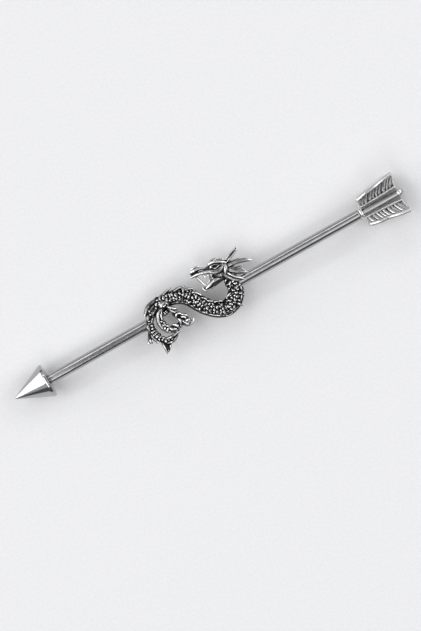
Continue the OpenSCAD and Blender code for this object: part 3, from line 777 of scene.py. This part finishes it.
body_bm = bmesh.new()
add_limbs(body_bm, [BODY], sides=32)
for band in BODY_SCALES:
    add_scales(body_bm, *band)
for degrees, width in BELLY_CORDS:
    cord = along_skin(BODY, degrees, width, cord_out, cord_share)
    add_limbs(body_bm, [cord], spacing=0.15, sides=10)
for rows, pitch, degrees, (on, off), half in BELLY_PLATES:
    for row, way in zip(*follow(rows, pitch)):
        centre, facing = surface(station(row, way), degrees)
        stamp_bead(body_bm, centre, Vector(way) * on + facing * off, facing, half)
add_limbs(body_bm, SPINES + FINS, plump=0.05)
add_limbs(body_bm, CRESTS, plump=0.12)
cut_back(body_bm, back_z)
body_finish = antiqued("antiqued_scales", coverage=0.16, wear=0.48, tone=0.06)
body = add_piece(fuse_casting(body_bm, grain=0.042), "dragon_body", "bar",
                 body_finish, "dragon_bar")
mark_recesses(body.data, "groove", rounds=10, depth=0.00003)
mark_recesses(body.data, "hollow", rounds=90, depth=0.0001)
# Painted shade: the flanks keep only a share of the bright buffed plate.
mark_polish_and_flank_shade(body.data, flanks=0.2)

# Dragon's hind leg: the thigh curls round inside the tail loop, and the shin drops to a foot with
# curled claws. It is cast in one with the body, buffed a little more, and its flanks get a little
# less painted shade.
THIGH = [
    [-4.75, 1.3, 0.42, 0.6, 0.8], [-5.35, 1.22, 0.48, 0.65, 0.9], [-5.9, 0.88, 0.46, 0.74, 0.9],
    [-6.18, 0.25, 0.38, 0.8, 0.9], [-6.12, -0.45, 0.32, 0.8, 0.85], [-5.84, -1.05, 0.28, 0.78, 0.8],
    [-5.35, -1.42, 0.2, 0.7, 0.75], [-4.7, -1.42, 0.2, 0.65, 0.75], [-4.2, -1.15, 0.25, 0.55, 0.7]]
THIGH_BANDS = [
    [[-5.35, 1.18, 0.7, 0.32, 0.4], [-5.9, 0.84, 0.74, 0.5, 0.5], [-6.22, 0.3, 0.66, 0.56, 0.5],
     [-6.36, -0.34, 0.56, 0.48, 0.5], [-6.19, -0.97, 0.5, 0.42, 0.4], [-5.77, -1.43, 0.45, 0.38, 0.4],
     [-5.05, -1.77, 0.4, 0.2, 0.3]],
    [[-5.56, 0.92, 0.78, 0.18, 0.3], [-5.8, 0.56, 0.8, 0.22, 0.4], [-5.9, 0.1, 0.74, 0.2, 0.3]],
    [[-5.74, -1.05, 0.5, 0.24, 0.4], [-5.42, -1.36, 0.58, 0.32, 0.4], [-5.02, -1.56, 0.5, 0.2, 0.3]],
    [[-5.1, -0.95, 0.45, 0.24, 0.3], [-4.8, -1.2, 0.56, 0.34, 0.4], [-4.72, -1.56, 0.45, 0.2, 0.3]]]
KNEE = [
    [[-5.42, 1.36, 0.7, 0.36, 0.4], [-5.16, 1.47, 0.82, 0.54, 0.5], [-4.86, 1.5, 0.82, 0.54, 0.5],
     [-4.64, 1.38, 0.78, 0.38, 0.4], [-4.58, 1.08, 0.7, 0.2, 0.3]],
    [[-4.8, 1.3, 0.5, 0.44, 0.7], [-4.52, 0.85, 0.55, 0.4, 0.7], [-4.18, 0.5, 0.58, 0.32, 0.5],
     [-3.94, 0.42, 0.55, 0.16, 0.3]],
    [[-4.7, 0.95, 0.45, 0.4, 0.7], [-4.48, 0.45, 0.5, 0.46, 0.7], [-4.15, 0.1, 0.55, 0.44, 0.6],
     [-3.82, 0.06, 0.5, 0.26, 0.3]]]
FOOT = [
    [[-4.45, 0.25, 0.3, 0.6, 0.8], [-4.2, -0.3, 0.35, 0.7, 0.8], [-4.0, -0.85, 0.3, 0.8, 0.8],
     [-4.0, -1.35, 0.2, 0.6, 0.7]],
    [[-4.42, -0.62, 0.6, 0.16, 0.3], [-4.36, -0.26, 0.76, 0.22, 0.4], [-4.08, -0.12, 0.8, 0.24, 0.4],
     [-3.78, -0.34, 0.7, 0.16, 0.3]],
    [[-4.32, -0.66, 0.6, 0.22, 0.4], [-4.2, -0.95, 0.72, 0.3, 0.5], [-4.3, -1.3, 0.6, 0.22, 0.4]],
    [[-3.98, -0.42, 0.5, 0.26, 0.5], [-3.62, -0.5, 0.62, 0.26, 0.5], [-3.32, -0.78, 0.62, 0.24, 0.4],
     [-3.36, -1.1, 0.5, 0.12, 0.2]],
    [[-3.92, -0.66, 0.6, 0.16, 0.3], [-3.66, -0.78, 0.7, 0.22, 0.4], [-3.54, -0.98, 0.66, 0.16, 0.4],
     [-3.7, -1.12, 0.55, 0.12, 0.3]],
    [[-4.05, -0.85, 0.5, 0.26, 0.5], [-3.92, -1.25, 0.6, 0.24, 0.5], [-3.72, -1.62, 0.6, 0.24, 0.5],
     [-3.5, -1.78, 0.5, 0.14, 0.3]],
    [[-3.66, -1.32, 0.55, 0.24, 0.5], [-3.38, -1.26, 0.65, 0.34, 0.5], [-3.16, -1.42, 0.5, 0.16, 0.3]],
    [[-4.05, -1.25, 0.35, 0.42, 0.6], [-3.86, -1.64, 0.42, 0.36, 0.5], [-3.42, -1.82, 0.5, 0.34, 0.4],
     [-3.04, -1.66, 0.5, 0.3, 0.3], [-2.8, -1.38, 0.45, 0.14, 0.15]]]
# Plates on the knee. Columns: x, y, z of the centre, degrees it is turned, half length
KNEE_PLATES = [[-5.22, 1.42, 0.98, 30, 0.2], [-4.98, 1.56, 1.02, 5, 0.18],
               [-4.72, 1.46, 1.0, -35, 0.18], [-4.96, 1.32, 1.04, 10, 0.22]]
knee_facing, knee_plate_w, knee_plate_t = Vector((-0.3, 0.2, 0.93)), 0.13, 0.1
INNER_MASS = [[-5.75, 0.5, 0.0, 0.4, 0.7], [-5.4, 0.64, 0.05, 0.7, 0.8],
              [-5.0, 0.7, 0.05, 0.6, 0.8], [-4.7, 0.8, 0.0, 0.4, 0.7]]
LEG_SCALES = [[THIGH[2:8], 0, 80, 0.3, (0.19, 0.15, 0.1), 20],
              [THIGH[4:9], 90, 150, 0.3, (0.2, 0.15, 0.1), 20],
              [INNER_MASS, 30, 150, 0.24, (0.14, 0.11, 0.08), 12]]

leg_bm = bmesh.new()
add_limbs(leg_bm, [THIGH], sides=24)
add_limbs(leg_bm, THIGH_BANDS + KNEE + FOOT + [INNER_MASS], plump=0.08)
for band in LEG_SCALES:
    add_scales(leg_bm, *band)
for x, y, z, turn, half_l in KNEE_PLATES:
    way = Matrix.Rotation(math.radians(turn), 3, "Z") @ Vector((1, 0, 0))
    stamp_bead(leg_bm, Vector((x, y, z)), way, knee_facing, (half_l, knee_plate_w, knee_plate_t))
cut_back(leg_bm, back_z)
leg_finish = antiqued("antiqued_leg", coverage=0.1, wear=0.55, tone=0.06)
leg = add_piece(fuse_casting(leg_bm, grain=0.036), "dragon_leg", "bar",
                leg_finish, "dragon_bar")
mark_recesses(leg.data, "groove", rounds=12, depth=0.00003)
mark_recesses(leg.data, "hollow", rounds=110, depth=0.0001)
# Painted shade: the flanks keep only a share of the bright buffed plate.
mark_polish_and_flank_shade(leg.data, flanks=0.3)

# Dragon's head: open jaws with a fang and teeth, lips, an eye under a heavy brow, a ribbed horn, an
# ear, and the tips of its mane and beard. It is cast in one with the body, polished more, and its
# flanks get less painted shade.
SKULL = [
    [[2.6, 2.1, 0.25, 1.2, 1.35], [1.9, 2.3, 0.28, 1.1, 1.3], [1.15, 2.42, 0.25, 0.8, 1.1],
     [0.45, 2.68, 0.22, 0.72, 1.0], [-0.25, 2.82, 0.22, 0.64, 0.95], [-0.82, 2.8, 0.2, 0.4, 0.7]],
    [[2.45, 1.1, 0.15, 1.0, 1.3], [1.6, 0.88, 0.2, 0.68, 1.05], [0.95, 0.76, 0.2, 0.58, 0.9],
     [0.35, 0.68, 0.2, 0.5, 0.75], [-0.08, 0.72, 0.2, 0.46, 0.6], [-0.26, 0.9, 0.2, 0.28, 0.45]],
    [[1.7, 1.46, 0.15, 0.5, 0.5], [1.2, 1.38, 0.22, 0.34, 0.3], [0.75, 1.28, 0.24, 0.26, 0.25],
     [0.36, 1.2, 0.2, 0.12, 0.2]]]
RIDGES = [
    [[-0.92, 2.58, 0.52, 0.24, 0.4], [-0.3, 2.57, 0.68, 0.32, 0.4], [0.3, 2.47, 0.76, 0.36, 0.4],
     [0.9, 2.27, 0.84, 0.42, 0.4], [1.3, 2.08, 0.9, 0.52, 0.5], [1.65, 1.9, 0.92, 0.6, 0.5],
     [2.05, 1.8, 0.94, 0.6, 0.5], [2.45, 1.86, 0.92, 0.48, 0.5], [2.85, 2.02, 0.84, 0.36, 0.4]],
    [[3.04, 2.06, 0.78, 0.32, 0.4], [2.92, 1.68, 0.9, 0.5, 0.5], [2.72, 1.33, 0.88, 0.44, 0.4],
     [2.54, 1.04, 0.78, 0.24, 0.3]],
    [[1.32, 2.8, 0.7, 0.22, 0.3], [1.62, 2.91, 0.84, 0.32, 0.4], [2.0, 2.91, 0.92, 0.34, 0.4],
     [2.45, 2.73, 0.92, 0.32, 0.4], [2.85, 2.46, 0.84, 0.28, 0.4], [3.28, 2.16, 0.68, 0.22, 0.3]],
    [[2.15, 3.06, 0.56, 0.14, 0.3], [2.6, 2.96, 0.62, 0.18, 0.3], [3.0, 2.72, 0.6, 0.18, 0.3],
     [3.4, 2.38, 0.5, 0.12, 0.3]],
    [[1.5, 3.1, 0.25, 0.12, 0.4], [2.0, 3.2, 0.3, 0.16, 0.5], [2.5, 3.14, 0.25, 0.12, 0.4]],
    [[1.42, 2.34, 0.8, 0.1, 0.2], [1.85, 2.2, 0.9, 0.14, 0.3], [2.2, 2.2, 0.92, 0.16, 0.3],
     [2.5, 2.3, 0.88, 0.1, 0.2]],
    [[-0.82, 3.05, 0.5, 0.24, 0.3], [-0.45, 3.08, 0.66, 0.36, 0.4], [-0.05, 3.07, 0.72, 0.34, 0.4],
     [0.4, 2.98, 0.7, 0.26, 0.3], [0.98, 2.74, 0.6, 0.16, 0.3]],
    [[0.0, 2.78, 0.62, 0.1, 0.2], [0.45, 2.74, 0.64, 0.12, 0.3], [0.95, 2.56, 0.6, 0.1, 0.2]],
    [[-0.44, 3.33, 0.35, 0.16, 0.3], [-0.15, 3.39, 0.42, 0.2, 0.4], [0.2, 3.32, 0.42, 0.18, 0.3],
     [0.52, 3.13, 0.35, 0.12, 0.2]],
    [[-0.02, 0.72, 0.44, 0.22, 0.3], [0.48, 0.86, 0.58, 0.34, 0.4], [0.95, 1.01, 0.66, 0.42, 0.4],
     [1.32, 1.07, 0.7, 0.5, 0.4], [1.74, 0.96, 0.62, 0.36, 0.3]],
    [[-0.33, 1.02, 0.36, 0.18, 0.3], [-0.29, 0.76, 0.42, 0.24, 0.3], [-0.1, 0.56, 0.42, 0.22, 0.3],
     [0.25, 0.49, 0.42, 0.18, 0.3], [0.75, 0.5, 0.4, 0.18, 0.3], [1.3, 0.6, 0.35, 0.16, 0.3]]]
HORN = [
    [[2.9, 2.2, 0.42, 0.4, 0.5], [3.5, 2.41, 0.46, 0.44, 0.4], [4.3, 2.73, 0.48, 0.44, 0.4],
     [4.88, 2.98, 0.42, 0.34, 0.4], [5.04, 3.04, 0.38, 0.18, 0.3]],
    [[3.2, 2.46, 0.52, 0.12, 0.3], [3.6, 2.59, 0.58, 0.15, 0.3], [4.3, 2.88, 0.58, 0.15, 0.3],
     [4.92, 3.11, 0.5, 0.13, 0.2], [5.06, 3.03, 0.46, 0.1, 0.2]],
    [[3.3, 2.2, 0.52, 0.12, 0.3], [3.7, 2.29, 0.58, 0.17, 0.3], [4.4, 2.59, 0.58, 0.19, 0.3],
     [4.96, 2.88, 0.5, 0.17, 0.2], [5.06, 3.0, 0.46, 0.1, 0.2]]]
MANE = [
    [[2.95, 1.85, 0.45, 0.6, 0.6], [3.4, 1.76, 0.56, 0.5, 0.5], [4.0, 1.7, 0.6, 0.48, 0.5],
     [4.6, 1.62, 0.58, 0.5, 0.4], [5.1, 1.45, 0.5, 0.48, 0.4], [5.5, 1.25, 0.44, 0.36, 0.3],
     [5.86, 1.01, 0.36, 0.12, 0.1]],
    [[3.15, 2.06, 0.38, 0.18, 0.4], [3.8, 2.06, 0.42, 0.16, 0.3], [4.35, 1.98, 0.4, 0.12, 0.2],
     [4.8, 1.86, 0.38, 0.08, 0.1]],
    [[2.95, 1.38, 0.44, 0.64, 0.6], [3.42, 1.16, 0.54, 0.8, 0.6], [3.82, 0.86, 0.56, 0.78, 0.6],
     [4.2, 0.56, 0.54, 0.6, 0.5], [4.55, 0.27, 0.48, 0.42, 0.4], [4.84, 0.03, 0.38, 0.18, 0.2]],
    [[3.18, 1.4, 0.58, 0.12, 0.2], [3.5, 1.45, 0.62, 0.14, 0.2], [3.98, 1.21, 0.64, 0.14, 0.2],
     [4.38, 0.79, 0.62, 0.15, 0.2], [4.65, 0.38, 0.54, 0.16, 0.2], [4.82, 0.07, 0.4, 0.1, 0.2]],
    [[3.1, 1.3, 0.56, 0.12, 0.2], [3.18, 0.98, 0.6, 0.14, 0.2], [3.56, 0.62, 0.62, 0.14, 0.2],
     [4.1, 0.34, 0.58, 0.14, 0.2], [4.62, 0.08, 0.48, 0.12, 0.2]],
    [[3.9, 1.15, 0.45, 0.3, 0.4], [4.45, 1.02, 0.42, 0.24, 0.3], [4.98, 1.06, 0.4, 0.1, 0.1]],
    [[2.44, 1.22, 0.52, 0.66, 0.8], [2.76, 0.68, 0.66, 0.64, 0.6], [3.16, 0.21, 0.7, 0.56, 0.5],
     [3.68, -0.17, 0.7, 0.42, 0.4], [4.1, -0.35, 0.62, 0.16, 0.2]],
    [[2.86, 1.06, 0.74, 0.24, 0.4], [3.06, 0.74, 0.84, 0.28, 0.4], [3.38, 0.34, 0.88, 0.3, 0.4],
     [3.76, -0.02, 0.86, 0.26, 0.3], [4.1, -0.32, 0.74, 0.12, 0.2]]]
TEETH = [
    [[-0.36, 2.42, 0.5, 0.26, 0.3], [-0.22, 1.9, 0.48, 0.23, 0.3], [-0.09, 1.45, 0.44, 0.2, 0.2],
     [0.05, 1.06, 0.4, 0.12, 0.1]],
    [[0.42, 2.32, 0.45, 0.28, 0.3], [0.46, 2.0, 0.45, 0.22, 0.2], [0.46, 1.7, 0.42, 0.08, 0.1]],
    [[0.85, 2.16, 0.5, 0.28, 0.3], [0.84, 1.88, 0.5, 0.22, 0.2], [0.78, 1.6, 0.45, 0.08, 0.1]],
    [[1.2, 2.0, 0.5, 0.26, 0.3], [1.16, 1.74, 0.5, 0.2, 0.2], [1.08, 1.52, 0.45, 0.08, 0.1]],
    [[0.74, 0.92, 0.45, 0.26, 0.3], [0.74, 1.14, 0.45, 0.2, 0.2], [0.7, 1.38, 0.42, 0.08, 0.1]],
    [[1.18, 1.06, 0.5, 0.28, 0.3], [1.18, 1.28, 0.5, 0.22, 0.2], [1.12, 1.52, 0.45, 0.08, 0.1]]]
# Rounded masses of the head. Columns: x, y, z of the centre, half length, half width, half depth
MASSES = [[2.2, 1.4, 0.2, 0.8, 0.72, 0.74], [2.2, 2.6, 0.2, 0.85, 0.5, 0.56],
          [2.0, 2.94, 0.05, 0.62, 0.28, 0.36], [-0.05, 3.1, 0.15, 0.5, 0.34, 0.4],
          [-0.42, 2.96, 0.3, 0.4, 0.2, 0.34], [1.6, 2.42, 0.7, 0.36, 0.2, 0.24],
          [1.45, 1.66, -0.2, 0.62, 0.42, 0.42]]
eye_at, eye_r, eye_w, eye_stretch, eye_turn = (1.95, 2.46, 0.82), 0.17, 0.11, (2.0, 1.0, 1.3), -12
rib_count, rib_w, rib_t = 9, 0.07, 0.22
# The horn's ribs span two lines from its root to its tip.
rib_feet = Vector((3.55, 2.26, 0.64)), Vector((4.92, 2.86, 0.56))
rib_heads = Vector((3.32, 2.52, 0.64)), Vector((4.86, 3.1, 0.56))

head_bm = bmesh.new()
add_limbs(head_bm, SKULL, spacing=0.1, sides=24)
add_limbs(head_bm, RIDGES + HORN + MANE + TEETH, spacing=0.08, plump=0.03)
for x, y, z, *half in MASSES:
    stamp_bead(head_bm, Vector((x, y, z)), Vector((1, 0, 0)), Vector((0, 0, 1)), half)
# The eye is a thick ring round its pupil, stretched to an almond.
eye = bmesh.new()
lid_place = Matrix.Translation((eye_r, 0, 0)) @ Matrix.Rotation(math.pi / 2, 4, "X")
bmesh.ops.create_circle(eye, cap_ends=True, segments=16, radius=eye_w, matrix=lid_place)
bmesh.ops.spin(eye, geom=eye.faces[:], cent=(0, 0, 0), axis=(0, 0, 1), angle=math.tau, steps=32,
               use_merge=True)
bmesh.ops.scale(eye, verts=eye.verts, vec=eye_stretch)
bmesh.ops.rotate(eye, verts=eye.verts, matrix=Matrix.Rotation(math.radians(eye_turn), 3, "Z"))
bmesh.ops.translate(eye, verts=eye.verts, vec=eye_at)
pour(eye, head_bm)
for k in range(rib_count):
    share = (k + 0.5) / rib_count
    low, high = (start.lerp(end, share) for start, end in (rib_feet, rib_heads))
    add_limbs(head_bm, [[[*point, rib_w, rib_t] for point in (low, low.lerp(high, 0.5), high)]])
cut_back(head_bm, back_z)
head_finish = antiqued("antiqued_head", coverage=0.02, wear=0.53, tone=0.13)
head = add_piece(fuse_casting(head_bm, grain=0.03), "dragon_head", "bar",
                 head_finish, "dragon_bar")
mark_recesses(head.data, "groove", rounds=16, depth=0.00003)
mark_recesses(head.data, "hollow", rounds=160, depth=0.0001)
# Painted shade: the flanks keep only a share of the bright buffed plate.
mark_polish_and_flank_shade(head.data, flanks=0.35)
